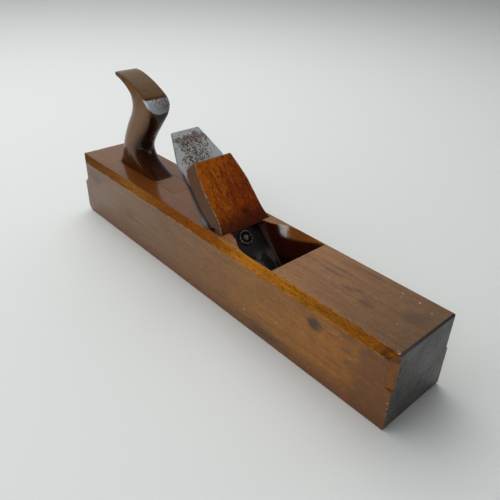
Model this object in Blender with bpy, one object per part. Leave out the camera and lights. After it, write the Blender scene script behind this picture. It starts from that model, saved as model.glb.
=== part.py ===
"""Wooden jack plane: beech stock, let-in open tote, double iron and wedge.

Metres, +Z up. The origin is the centre of the stock's rectangle on the sole. +X points to the toe,
-Y is the plane's right-hand side. Each piece is one closed mesh in its own object.
"""

import math

import bmesh
import bpy
from mathutils import Vector

# Stock
LENGTH = 0.432
WIDTH = 0.070
HEIGHT = 0.070
GAP = 0.0003                    # kept between neighbouring pieces
OVERCUT = 0.002                 # cutters run this far past the faces they open
TOP_CHAMFER_IN = 0.0030         # long chamfers: across the top, and down the side
TOP_CHAMFER_DOWN = 0.00845
END_CHAMFER_ALONG = 0.0068      # upright chamfers: along the side, and across the end
END_CHAMFER_IN = 0.0030
END_CHAMFER_FOOT = 0.0365       # where the gouged stop runs out
END_CHAMFER_STOP = 0.0050       # height of the gouged stop
HEEL_ROUND = 0.0095             # radius of the sole's rear edge
TOE_ROUND = 0.0025
END_BEVEL = 0.0013              # worn bevel along the top edge of both ends

# Bed and throat
PITCH = math.radians(43.0)      # bed angle to the sole
BED_TOP_X = 0.0055              # where the bed meets the top
BED_HALF = 0.0290               # half width of the bed and mouth
ABUTMENT_PITCH = math.radians(51.0)
ABUTMENT_TOP_X = 0.0293
ABUTMENT_HALF = 0.0190          # half width between the two abutments
ABUTMENT_FULL_Z = 0.045         # the abutments fade into the cheeks below this height
ABUTMENT_GONE_Z = 0.030
MOUTH_FRONT_X = 0.0886
THROAT_FRONT_X = 0.0948
CHEEK_FLARE = 0.0026            # how far the scooped cheek opens out at the top
CHEEK_FLARE_DEPTH = 0.0115      # depth of the scoop below the top
CHEEK_FLARE_START_X = 0.039
CHEEK_FLARE_LEAN = 0.62         # below 1 puts the deepest point of the scoop nearer the heel
CHEEK_FLARE_FADE = 0.25         # share of the scoop's length over which it opens out
EYE_LEAD = 0.0030               # the S-shaped eye starts this far behind the abutment face
EYE_LENGTH = 0.0390
EYE_SHARE = 0.85                # but it never takes more than this share of the throat's length
GROOVE_HALF = 0.0095            # bed groove for the head of the cap screw
GROOVE_DEPTH = 0.0065
GROOVE_TOP = -0.0300            # the groove's cutter runs from here, above the stock
GROOVE_END = 0.0280             # to the centre of the groove's round end, down the bed

# Tote
TOTE_HALF = 0.01245
TOTE_FOOT_HALF = 0.01225
TOTE_FOOT_RISE = 0.012          # the foot widens to the full thickness over this height
TENON_HALF = 0.01235
TENON_FRONT_X = -0.0653
TENON_REAR_X = -0.1727
TENON_DEPTH = 0.0140

# Irons, measured down the bed from the top of the stock
IRON_TOP = -0.0910
IRON_TOP_HALF = 0.0150
IRON_SHOULDER = -0.0600
IRON_SHOULDER_HALF = 0.0250
IRON_HALF = 0.0285
IRON_LENGTH = 0.186             # over which the iron thickens
IRON_TOP_THICK = 0.0022
IRON_EDGE_THICK = 0.0044
IRON_BEVEL = math.radians(25.0)
EDGE_HEIGHT = 0.0003            # the edge stands this far above the sole
SLOT_HALF = 0.0055
SLOT_LOW = 0.0620
KEYHOLE = -0.0190
KEYHOLE_R = 0.0090
SCREW_STATION = 0.0251
CAP_THICK = 0.0023
CAP_TOP = -0.0450
CAP_CORNER = 0.0120             # radius of the cap iron's upper corners
CAP_SETBACK = 0.0015            # from the cutting edge to the cap iron's lip
CAP_LIP_THICK = 0.0004
CAP_HUMP = 0.0021               # how far the cap iron's lower end bows away
CAP_HUMP_LENGTH = 0.0250
CAP_MARGIN = 0.0004             # the cap iron is this much narrower on each side
BOSS_R = 0.0070
BOSS_EASE = 0.0006              # bevel round its outer edge
BOSS_PROUD = 0.0018             # above the cap iron's face
BOSS_RIM = 0.0005               # raised rim round the threaded hole
BOSS_RIM_R = 0.0048
BOSS_HOLE_R = 0.0041
SCREW_R = 0.0037
SCREW_TIP_PROUD = 0.0002        # the domed tip stands this far above the boss's face
SCREW_HEAD_R = 0.0080
SCREW_HEAD_THICK = 0.0046
SCREW_KERF_HALF = 0.0008
SCREW_KERF_DEPTH = 0.0018

# Wedge, measured up the abutment face from the top of the stock
WEDGE_HALF = 0.0284
WEDGE_TIP_Z = 0.033
WEDGE_BEND_Z = 0.0790           # the front face eases back above this height
WEDGE_UPPER_PITCH = math.radians(45.5)
WEDGE_TOP_Z = 0.1192
WEDGE_HEAD_SLOPE = math.radians(27.0)
WEDGE_EASE = 0.0006             # worn edge where the head meets the front face
WEDGE_WAIST_HALF = 0.0250       # above the stock
WEDGE_WAIST_END = 0.0140        # the shoulders run out to the waist this far above the stock
WEDGE_HEAD_START = 0.0400       # the head rounds off from here upwards
WEDGE_HEAD_LENGTH = 0.0277
WEDGE_HEAD_IN = 0.0045          # how far each side has come in after that length
WEDGE_SLOT_HALF = 0.0186
WEDGE_SLOT_TOP = -0.0012        # just below the top of the stock
WEDGE_SLOT_ROUND = 0.0035

FACE_PITCH = PITCH - math.atan((IRON_EDGE_THICK - IRON_TOP_THICK) / IRON_LENGTH)
ROUND_STEPS = 32
PLATE_HALF = 0.040              # half width of the blanks that the irons and wedge are cut from
PLATE_CUT = 0.060               # their cutters reach this far out of the blank
WEDGE_REACH = 0.070             # the wedge's cutters run this far down, past its tip


# Placing and building

def clear_scene():
    for obj in list(bpy.data.objects):
        bpy.data.objects.remove(obj, do_unlink=True)


def material(name, color, roughness, metallic=0.0):
    made = bpy.data.materials.new(name)
    made.use_nodes = True
    shader = made.node_tree.nodes["Principled BSDF"]
    shader.inputs["Base Color"].default_value = (*color, 1.0)
    shader.inputs["Roughness"].default_value = roughness
    shader.inputs["Metallic"].default_value = metallic
    return made


def add_object(name, bm, mat=None, parent=None):
    """Turn a bmesh into a smooth-shaded object, with its faces pointing out."""
    bmesh.ops.recalc_face_normals(bm, faces=bm.faces)
    mesh = bpy.data.meshes.new(name)
    bm.to_mesh(mesh)
    bm.free()
    mesh.shade_smooth()
    mesh.set_sharp_from_angle(angle=math.radians(28))
    obj = bpy.data.objects.new(name, mesh)
    bpy.context.scene.collection.objects.link(obj)
    if mat:
        mesh.materials.append(mat)
    obj.parent = parent
    return obj


def add_empty(name, location, pitch):
    """An empty whose local X runs down the slope and whose local Z leaves it."""
    empty = bpy.data.objects.new(name, None)
    empty.empty_display_size = 0.02
    empty.location = location
    empty.rotation_euler = (0.0, pitch, 0.0)
    bpy.context.scene.collection.objects.link(empty)
    return empty


def boolean(obj, tool, operation="DIFFERENCE"):
    tool.hide_render = True
    tool.display_type = "WIRE"
    modifier = obj.modifiers.new(tool.name, "BOOLEAN")
    modifier.operation = operation
    modifier.solver = "EXACT"
    modifier.object = tool


def loft(rings):
    """A closed body through rings of the same number of points, capped at both ends."""
    bm = bmesh.new()
    loops = [[bm.verts.new(point) for point in ring] for ring in rings]
    count = len(loops[0])
    for low, high in zip(loops, loops[1:]):
        for i in range(count):
            j = (i + 1) % count
            bm.faces.new((low[i], low[j], high[j], high[i]))
    bm.faces.new(loops[0])
    bm.faces.new(loops[-1])
    return bm


def side_prism(outline, low_y, high_y):
    """Extrude an (x, z) outline across the plane, along Y."""
    return loft([[(x, y, z) for x, z in outline] for y in (low_y, high_y)])


def plan_prism(outline, low_z, high_z):
    """Extrude an (x, y) outline along Z."""
    return loft([[(x, y, z) for x, y in outline] for z in (low_z, high_z)])


def turned(profile, ring=False, steps=ROUND_STEPS):
    """Turn an (r, z) profile about Z: a closed one for a ring, or one that starts and ends on the axis."""
    bm = bmesh.new()
    verts = [bm.verts.new((r, 0.0, z)) for r, z in profile]
    partners = verts[1:] + verts[:1] if ring else verts[1:]
    edges = [bm.edges.new(pair) for pair in zip(verts, partners)]
    bmesh.ops.spin(bm, geom=verts + edges, cent=(0, 0, 0), axis=(0, 0, 1), angle=math.tau, steps=steps)
    bmesh.ops.remove_doubles(bm, verts=bm.verts, dist=1e-6)
    return bm


def arc(center, radius, start, end, steps):
    """Points on an arc from start to end, in degrees."""
    angles = [math.radians(start + (end - start) * i / steps) for i in range(steps + 1)]
    return [(center[0] + radius * math.cos(a), center[1] + radius * math.sin(a)) for a in angles]


def mirrored(half_outline):
    """Close an outline given for +Y by its mirror image."""
    return half_outline + [(x, -y) for x, y in reversed(half_outline)]


def smoothstep(low, high, value):
    t = min(max((value - low) / (high - low), 0.0), 1.0)
    return t * t * (3.0 - 2.0 * t)


def mix(a, b, t):
    return a + (b - a) * t


def spline(rows, per_span):
    """Catmull-Rom curve through rows of numbers, every column at once."""
    rows = [Vector(row) for row in rows]
    padded = [rows[0] * 2 - rows[1]] + rows + [rows[-1] * 2 - rows[-2]]
    points = []
    for p0, p1, p2, p3 in zip(padded, padded[1:], padded[2:], padded[3:]):
        for step in range(per_span):
            t = step / per_span
            points.append(0.5 * (2 * p1 + (p2 - p0) * t + (2 * p0 - 5 * p1 + 4 * p2 - p3) * t ** 2
                                 + (3 * p1 - p0 - 3 * p2 + p3) * t ** 3))
    return points + [rows[-1]]


# Stock

def bed_x(z):
    return BED_TOP_X + (HEIGHT - z) / math.tan(PITCH)


def abutment_x(z):
    return ABUTMENT_TOP_X + (HEIGHT - z) / math.tan(ABUTMENT_PITCH)


def breast_x(z):
    return mix(MOUTH_FRONT_X, THROAT_FRONT_X, z / HEIGHT)


def stock_block():
    """The block's side outline, extruded: rounded sole edges and worn top edges."""
    rear, front = -LENGTH / 2, LENGTH / 2
    outline = arc((rear + HEEL_ROUND, HEEL_ROUND), HEEL_ROUND, 180, 270, 8)
    outline += arc((front - TOE_ROUND, TOE_ROUND), TOE_ROUND, -90, 0, 3)
    outline += [(front, HEIGHT - END_BEVEL), (front - END_BEVEL, HEIGHT)]
    outline += [(rear + END_BEVEL / 2, HEIGHT), (rear, HEIGHT - END_BEVEL / 2)]
    return side_prism(outline, -WIDTH / 2, WIDTH / 2)


def chamfer_corner(run, drop, spare=0.15):
    """A triangle that planes off the corner at (0, 0), run back along a and drop back along b."""
    return [(-run * (1 + spare), drop * spare), (run * spare, -drop * (1 + spare)), (run, drop)]


def top_chamfer_tool(side):
    corner = chamfer_corner(TOP_CHAMFER_IN, TOP_CHAMFER_DOWN)
    rings = [[(x, side * (WIDTH / 2 + a), HEIGHT + b) for a, b in corner] for x in (-LENGTH, LENGTH)]
    return loft(rings)


def end_chamfer_tool(end, side):
    """An upright chamfer that runs out below in a gouged stop."""
    steps = 6
    levels = [(END_CHAMFER_FOOT + END_CHAMFER_STOP * i / steps, 1.0 - math.sqrt(1.0 - (1.0 - i / steps) ** 2))
              for i in range(steps + 1)]
    corner = chamfer_corner(END_CHAMFER_ALONG, END_CHAMFER_IN)
    rings = []
    for z, out in levels + [(HEIGHT + OVERCUT, 0.0)]:
        at_x = LENGTH / 2 + END_CHAMFER_ALONG * out / 2
        at_y = WIDTH / 2 + END_CHAMFER_IN * out / 2
        rings.append([(end * (at_x + a), side * (at_y + b), z) for a, b in corner])
    return loft(rings)


def bed_tool():
    """The sloping space for the irons and the wedge, from the bed to the abutments."""
    below, above = -OVERCUT, HEIGHT + OVERCUT
    outline = [(bed_x(below), below), (abutment_x(below), below),
               (abutment_x(above), above), (bed_x(above), above)]
    return side_prism(outline, -BED_HALF, BED_HALF)


def cheek_half(x, z):
    """Half width of the throat at one point: the S-shaped eye, then the scooped cheek."""
    inner = mix(BED_HALF, ABUTMENT_HALF, smoothstep(ABUTMENT_GONE_Z, ABUTMENT_FULL_Z, z))
    start = abutment_x(z) - EYE_LEAD
    length = min(EYE_LENGTH, EYE_SHARE * (breast_x(z) - start))
    half = mix(inner, BED_HALF, smoothstep(start, start + length, x))
    along = min(max((x - CHEEK_FLARE_START_X) / (THROAT_FRONT_X - CHEEK_FLARE_START_X), 0.0), 1.0)
    depth = CHEEK_FLARE_DEPTH * math.sin(math.pi * along ** CHEEK_FLARE_LEAN)
    if depth <= HEIGHT - z:
        return half
    rise = 1.0 - (HEIGHT - z) / depth
    return half + CHEEK_FLARE * rise * smoothstep(0.0, CHEEK_FLARE_FADE, along)


def throat_tool():
    """The throat in front of the abutments, as level sections from the sole to the top."""
    steps = 18
    heights = [-OVERCUT, ABUTMENT_GONE_Z / 2]
    heights += [mix(ABUTMENT_GONE_Z, ABUTMENT_FULL_Z, i / 5) for i in range(6)]
    heights += [HEIGHT - CHEEK_FLARE_DEPTH * (1.0 - i / 5) for i in range(6)] + [HEIGHT + OVERCUT]
    rings = []
    for z in heights:
        stations = [mix(abutment_x(z) - EYE_LEAD, breast_x(z), i / steps) for i in range(steps + 1)]
        half = [(x, cheek_half(x, min(z, HEIGHT))) for x in stations]
        rings.append([(x, y, z) for x, y in mirrored(half)])
    return loft(rings)


def groove_tool():
    """A groove down the bed, round at its lower end, in the bed's own frame."""
    outline = [(GROOVE_TOP, -GROOVE_HALF)]
    outline += arc((GROOVE_END, 0.0), GROOVE_HALF, -90, 90, 12)
    outline += [(GROOVE_TOP, GROOVE_HALF)]
    return plan_prism(outline, -GROOVE_DEPTH, OVERCUT)


def mortise_tool():
    front, rear, half = TENON_FRONT_X + GAP, TENON_REAR_X - GAP, TENON_HALF + GAP
    outline = [(rear, -half), (front, -half), (front, half), (rear, half)]
    return plan_prism(outline, HEIGHT - TENON_DEPTH - GAP, HEIGHT + OVERCUT)


def make_stock(mat, bed):
    stock = add_object("stock", stock_block(), mat)
    for side, label in ((-1, "right"), (1, "left")):
        boolean(stock, add_object(f"chamfer_{label}_cutter", top_chamfer_tool(side)))
        for end, place in ((-1, "heel"), (1, "toe")):
            boolean(stock, add_object(f"chamfer_{place}_{label}_cutter", end_chamfer_tool(end, side)))
    boolean(stock, add_object("bed_cutter", bed_tool()))
    boolean(stock, add_object("throat_cutter", throat_tool()))
    boolean(stock, add_object("groove_cutter", groove_tool(), parent=bed))
    boolean(stock, add_object("mortise_cutter", mortise_tool()))
    return stock


# Tote

# Front and rear of the grip from foot to horn tip, with how square each side's corners are:
# front x, front z, rear x, rear z, front squareness, rear squareness
TOTE_SECTIONS = (
    (-0.0970, 0.0690, -0.1722, 0.0690, 9.0, 9.0),
    (-0.1050, 0.0730, -0.1722, 0.0740, 6.0, 4.6),
    (-0.1165, 0.0800, -0.1710, 0.0800, 3.8, 3.2),
    (-0.1238, 0.0880, -0.1684, 0.0880, 2.8, 2.6),
    (-0.1257, 0.0970, -0.1648, 0.0970, 2.5, 2.5),
    (-0.1195, 0.1080, -0.1592, 0.1080, 2.5, 2.5),
    (-0.1100, 0.1200, -0.1518, 0.1200, 2.6, 2.6),
    (-0.1030, 0.1310, -0.1424, 0.1320, 3.8, 2.9),
    (-0.1001, 0.1400, -0.1370, 0.1415, 8.0, 3.8),
    (-0.1002, 0.1468, -0.1351, 0.1484, 14.0, 6.0),
    (-0.1050, 0.1527, -0.1356, 0.1526, 18.0, 9.0),
    (-0.1150, 0.1579, -0.1382, 0.1560, 18.0, 14.0),
    (-0.1270, 0.1627, -0.1426, 0.1591, 18.0, 16.0),
    (-0.1400, 0.1665, -0.1486, 0.1620, 18.0, 16.0),
    (-0.1510, 0.1686, -0.1541, 0.1640, 16.0, 14.0),
    (-0.1586, 0.1690, -0.1590, 0.1654, 10.0, 10.0),
)
TOTE_POINTS = 44                # round each section
TOTE_SPAN_STEPS = 4             # sections made between two rows


def tote_ring(row):
    """One section: a superellipse between the front and rear points, across the grip."""
    front_x, front_z, rear_x, rear_z, front_square, rear_square = row
    middle = Vector(((front_x + rear_x) / 2, 0.0, (front_z + rear_z) / 2))
    reach = Vector(((front_x - rear_x) / 2, 0.0, (front_z - rear_z) / 2))
    half = mix(TOTE_FOOT_HALF, TOTE_HALF, smoothstep(HEIGHT, HEIGHT + TOTE_FOOT_RISE, middle.z))
    ring = []
    for i in range(TOTE_POINTS):
        angle = math.tau * (i + 0.5) / TOTE_POINTS
        power = 2.0 / (front_square if math.cos(angle) > 0 else rear_square)
        along = math.copysign(abs(math.cos(angle)) ** power, math.cos(angle))
        across = math.copysign(abs(math.sin(angle)) ** power, math.sin(angle))
        ring.append(middle + reach * along + Vector((0.0, half * across, 0.0)))
    return ring


def make_tote(mat):
    """The grip, lofted from foot to horn, joined to the tenon that fills the mortise."""
    tote = add_object("tote", loft([tote_ring(row) for row in spline(TOTE_SECTIONS, TOTE_SPAN_STEPS)]), mat)
    outline = [(TENON_REAR_X, -TENON_HALF), (TENON_FRONT_X, -TENON_HALF),
               (TENON_FRONT_X, TENON_HALF), (TENON_REAR_X, TENON_HALF)]
    tenon = add_object("tenon_tool", plan_prism(outline, HEIGHT - TENON_DEPTH, HEIGHT))
    boolean(tote, tenon, "UNION")
    return tote


# Irons

def iron_thickness(station):
    return mix(IRON_TOP_THICK, IRON_EDGE_THICK, (station - IRON_TOP) / IRON_LENGTH)


def edge_station():
    """How far down the irons' front face the cutting edge lies."""
    face_z = HEIGHT + (GAP + iron_thickness(0.0)) * math.cos(PITCH)
    return (face_z - EDGE_HEIGHT) / math.sin(FACE_PITCH)


def iron_half(station):
    """Half width: sloping shoulders, then a slight taper down to full width in the stock."""
    if station < IRON_SHOULDER:
        return mix(IRON_TOP_HALF, IRON_SHOULDER_HALF, (station - IRON_TOP) / (IRON_SHOULDER - IRON_TOP))
    return mix(IRON_SHOULDER_HALF, IRON_HALF, min((station - IRON_SHOULDER) / -IRON_SHOULDER, 1.0))


def iron_outline(edge):
    return mirrored([(station, iron_half(station)) for station in (IRON_TOP, IRON_SHOULDER, 0.0, edge)])


def keyhole_outline():
    """The long slot with its round hole at the upper end."""
    meet = math.degrees(math.asin(SLOT_HALF / KEYHOLE_R))
    outline = arc((SLOT_LOW, 0.0), SLOT_HALF, -90, 90, 10)
    outline += arc((KEYHOLE, 0.0), KEYHOLE_R, meet, 360 - meet, 20)
    return outline


def cut_outline(obj, name, outline, parent):
    """Keep only what lies inside an outline drawn in the parent frame."""
    boolean(obj, add_object(name, plan_prism(outline, -PLATE_CUT, PLATE_CUT), parent=parent), "INTERSECT")


def make_cutting_iron(mat, bed):
    """A tapered blade lying on the bed, ground from the back to an edge on its front face."""
    edge = edge_station()
    heel = edge - IRON_EDGE_THICK / math.tan(IRON_BEVEL)
    side = [(IRON_TOP, GAP), (IRON_TOP, GAP + iron_thickness(IRON_TOP)), (edge, GAP + iron_thickness(edge)),
            (heel, GAP)]
    iron = add_object("cutting_iron", side_prism(side, -PLATE_HALF, PLATE_HALF), mat, bed)
    cut_outline(iron, "iron_outline_tool", iron_outline(edge), bed)
    slot = plan_prism(keyhole_outline(), -PLATE_CUT, PLATE_CUT)
    boolean(iron, add_object("iron_slot_cutter", slot, parent=bed))
    return iron


def cap_profile():
    """Side outline of the cap iron: a flat plate whose lower end bows out and back to the lip."""
    lip = edge_station() - CAP_SETBACK
    start = lip - CAP_HUMP_LENGTH
    steps = 10
    outer = [(CAP_TOP, GAP + CAP_THICK), (start, GAP + CAP_THICK)]
    inner = [(CAP_TOP, GAP), (start, GAP)]
    for i in range(1, steps):
        t = i / steps
        bow = CAP_HUMP * math.sin(math.pi * t ** 1.5) ** 1.2
        thick = mix(CAP_THICK, CAP_LIP_THICK, t ** 4)
        station = start + CAP_HUMP_LENGTH * t
        outer.append((station, GAP + bow + thick))
        inner.append((station - CAP_LIP_THICK * t, GAP + bow))
    return outer + [(lip, GAP + CAP_LIP_THICK), (lip - CAP_LIP_THICK / 2, GAP)] + inner[::-1]


def make_cap_iron(mat, face):
    """The cap iron on the cutting iron's face, with rounded upper corners and the boss hole."""
    cap = add_object("cap_iron", side_prism(cap_profile(), -PLATE_HALF, PLATE_HALF), mat, face)
    top_half = iron_half(CAP_TOP) - CAP_MARGIN
    half = arc((CAP_TOP + CAP_CORNER, top_half - CAP_CORNER), CAP_CORNER, 180, 90, 6)
    half += [(0.0, IRON_HALF - CAP_MARGIN), (edge_station(), IRON_HALF - CAP_MARGIN)]
    cut_outline(cap, "cap_outline_tool", mirrored(half), face)
    r = BOSS_R + GAP
    hole = turned([(0, -PLATE_CUT), (r, -PLATE_CUT), (r, PLATE_CUT), (0, PLATE_CUT)])
    cutter = add_object("cap_hole_cutter", hole, parent=face)
    cutter.location.x = SCREW_STATION
    boolean(cap, cutter)
    return cap


def make_boss(mat, face):
    """The threaded boss: a ring through the cap iron, with its rim eased."""
    low, high = 2 * GAP, GAP + CAP_THICK + BOSS_PROUD
    profile = [(BOSS_HOLE_R, low), (BOSS_R, low), (BOSS_R, high - BOSS_EASE), (BOSS_R - BOSS_EASE, high),
               (BOSS_RIM_R + 0.0002, high), (BOSS_RIM_R - 0.0001, high + BOSS_RIM),
               (BOSS_HOLE_R + 0.0002, high + BOSS_RIM), (BOSS_HOLE_R, high + BOSS_RIM / 2)]
    boss = add_object("cap_iron_boss", turned(profile, ring=True), mat, face)
    boss.location.x = SCREW_STATION
    return boss


def make_cap_screw(mat, face):
    """The cap screw on its axis: slotted head behind the irons, domed end inside the boss."""
    seat = -iron_thickness(SCREW_STATION) - 1.5 * GAP
    base = seat - SCREW_HEAD_THICK
    end = GAP + CAP_THICK + BOSS_PROUD + SCREW_TIP_PROUD
    profile = [(0, base), (SCREW_HEAD_R * 0.6, base + 0.0001), (SCREW_HEAD_R - 0.0008, base + 0.0005),
               (SCREW_HEAD_R, base + 0.0013), (SCREW_HEAD_R, seat), (SCREW_R, seat), (SCREW_R, end - 0.0009),
               (SCREW_R * 0.85, end - 0.0003), (SCREW_R * 0.45, end - 0.00005), (0, end)]
    screw = add_object("cap_screw", turned(profile), mat, face)
    screw.location.x = SCREW_STATION
    reach = 2 * SCREW_HEAD_R
    kerf = mirrored([(-reach, SCREW_KERF_HALF), (reach, SCREW_KERF_HALF)])
    cutter = plan_prism(kerf, base - OVERCUT, base + SCREW_KERF_DEPTH)
    boolean(screw, add_object("kerf_cutter", cutter, parent=screw))
    return screw


# Wedge

def wedge_rear_x(z):
    """The rear face lies on the cap iron, a gap clear of it."""
    clear = GAP + iron_thickness(0.0) + GAP + CAP_THICK + 2 * GAP
    top_x = BED_TOP_X + clear * math.sin(PITCH) + clear * math.cos(PITCH) / math.tan(FACE_PITCH)
    return top_x + (HEIGHT - z) / math.tan(FACE_PITCH)


def wedge_front_x(z):
    straight = ABUTMENT_TOP_X - GAP / math.sin(ABUTMENT_PITCH) + (HEIGHT - z) / math.tan(ABUTMENT_PITCH)
    if z <= WEDGE_BEND_Z:
        return straight
    return wedge_front_x(WEDGE_BEND_Z) - (z - WEDGE_BEND_Z) / math.tan(WEDGE_UPPER_PITCH)


def wedge_side_outline():
    """Side view: thin legs below, the bend in the front face, and a head sawn off at a slope."""
    head_x = wedge_front_x(WEDGE_TOP_Z) - WEDGE_EASE
    head_run, rear_run = 1 / math.tan(WEDGE_HEAD_SLOPE), 1 / math.tan(FACE_PITCH)
    tail_z = (wedge_rear_x(0.0) - head_x + WEDGE_TOP_Z * head_run) / (head_run + rear_run)
    tip_rear_z = WEDGE_TIP_Z + 0.001
    front = [(wedge_front_x(z), z) for z in (WEDGE_TIP_Z, WEDGE_BEND_Z, WEDGE_TOP_Z - WEDGE_EASE)]
    rear = [(wedge_rear_x(z), z) for z in (tail_z, tip_rear_z)]
    return front + [(head_x, WEDGE_TOP_Z)] + rear


def wedge_half(along):
    """Half width along the wedge: full in the stock, waisted above it, rounded at the head."""
    waist = mix(WEDGE_HALF, WEDGE_WAIST_HALF, smoothstep(-0.3 * WEDGE_WAIST_END, WEDGE_WAIST_END, along))
    rounding = max((along - WEDGE_HEAD_START) / WEDGE_HEAD_LENGTH, 0.0) ** 1.3
    return min(waist, WEDGE_HALF) - WEDGE_HEAD_IN * rounding if along > 0 else WEDGE_HALF


def wedge_plan_outline():
    """Front view, along the abutment face: local X runs down, so the head is at -X."""
    stations = [WEDGE_HEAD_START + WEDGE_HEAD_LENGTH * i / 5 for i in range(6, -1, -1)]
    stations += [WEDGE_WAIST_END * i / 6 for i in range(6, -1, -1)]
    return mirrored([(-along, wedge_half(along)) for along in stations] + [(WEDGE_REACH, WEDGE_HALF)])


def wedge_slot_outline():
    """The opening between the legs, square across just below the top of the stock."""
    r = WEDGE_SLOT_ROUND
    corner = arc((r - WEDGE_SLOT_TOP, WEDGE_SLOT_HALF - r), r, 180, 90, 5)
    return mirrored(corner + [(WEDGE_REACH, WEDGE_SLOT_HALF)])


def make_wedge(mat, abutment):
    wedge = add_object("wedge", side_prism(wedge_side_outline(), -PLATE_HALF, PLATE_HALF), mat)
    cut_outline(wedge, "wedge_outline_tool", wedge_plan_outline(), abutment)
    slot = plan_prism(wedge_slot_outline(), -PLATE_HALF, PLATE_HALF)
    boolean(wedge, add_object("wedge_slot_cutter", slot, parent=abutment))
    return wedge


def main():
    clear_scene()
    beech = material("stock_varnished_beech", (0.235, 0.120, 0.052), 0.35)
    handle_beech = material("tote_varnished_beech", (0.185, 0.085, 0.040), 0.30)
    wedge_beech = material("wedge_varnished_beech", (0.400, 0.150, 0.030), 0.40)
    blade_steel = material("cutting_iron_pitted_steel", (0.330, 0.310, 0.300), 0.45, 1.0)
    dark_iron = material("cap_iron_black_iron", (0.050, 0.045, 0.043), 0.40, 1.0)
    boss_brass = material("boss_worn_brass", (0.550, 0.470, 0.320), 0.30, 1.0)
    screw_steel = material("cap_screw_steel", (0.280, 0.260, 0.250), 0.35, 1.0)

    bed = add_empty("bed_frame", (BED_TOP_X, 0.0, HEIGHT), PITCH)
    clear = GAP + iron_thickness(0.0)
    face_at = (BED_TOP_X + clear * math.sin(PITCH), 0.0, HEIGHT + clear * math.cos(PITCH))
    face = add_empty("iron_face_frame", face_at, FACE_PITCH)
    abutment = add_empty("abutment_frame", (ABUTMENT_TOP_X, 0.0, HEIGHT), ABUTMENT_PITCH)

    make_stock(beech, bed)
    make_tote(handle_beech)
    make_cutting_iron(blade_steel, bed)
    make_cap_iron(dark_iron, face)
    make_boss(boss_brass, face)
    make_cap_screw(screw_steel, face)
    make_wedge(wedge_beech, abutment)


main()
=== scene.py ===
"""Looks of the wooden jack plane: worn, varnished beech, a pitted iron and a dark cap iron.

Metres, in the model's own frame: +X to the toe, +Z up from the sole. The side seen first is at -Y.
"""

import math

import bmesh
import bpy
from mathutils import Matrix, Vector


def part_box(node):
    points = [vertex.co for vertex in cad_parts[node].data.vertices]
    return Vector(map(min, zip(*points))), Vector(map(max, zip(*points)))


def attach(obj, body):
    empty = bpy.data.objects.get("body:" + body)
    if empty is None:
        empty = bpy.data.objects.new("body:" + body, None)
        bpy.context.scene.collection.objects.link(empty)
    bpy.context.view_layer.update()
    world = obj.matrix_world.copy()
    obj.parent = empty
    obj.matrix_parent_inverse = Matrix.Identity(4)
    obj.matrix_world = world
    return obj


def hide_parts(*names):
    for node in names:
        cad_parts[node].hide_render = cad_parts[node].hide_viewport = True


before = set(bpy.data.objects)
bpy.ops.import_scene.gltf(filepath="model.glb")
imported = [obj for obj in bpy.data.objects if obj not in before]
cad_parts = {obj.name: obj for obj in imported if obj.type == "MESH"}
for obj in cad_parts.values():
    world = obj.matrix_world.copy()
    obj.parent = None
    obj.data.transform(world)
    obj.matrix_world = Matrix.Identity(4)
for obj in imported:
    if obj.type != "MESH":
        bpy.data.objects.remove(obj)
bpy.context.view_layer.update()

# Camera
EYE = Vector((0.33584, -0.27341, 0.30158))
TARGET = Vector((0.0140, 0.01888, 0.03024))
ROLL = math.radians(1.567)
LENS = 38.23
SENSOR = 36.0

# Surroundings
WALL_DIRECTION = (-0.746, 0.666, 0.0)
WALL_TONE = (0.62, 0.65, 0.63)
ROOM_TONE = (0.085, 0.085, 0.085)
CEILING_TONE = (0.14, 0.14, 0.14)

# Slopes of the pieces, as turns about Y that lay local X down the slope
ABUTMENT_PITCH = math.radians(51.0)
FACE_PITCH = math.radians(42.32)

STOCK_LOW, STOCK_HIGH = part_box("stock")
WEDGE_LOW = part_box("wedge")[0]
TOP = STOCK_HIGH.z
TOE = STOCK_HIGH.x
SIDE = STOCK_LOW.y
CHAMFER_IN = 0.0030
CHAMFER_DOWN = 0.00845
BED_TOP = Vector((0.0055, 0.0, TOP))
BOSS_STATION = 0.0251           # the boss's place down the bed from BED_TOP
WEDGE_FOOT = Vector((0.0293, 0.0, TOP))


# Node trees

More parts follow.
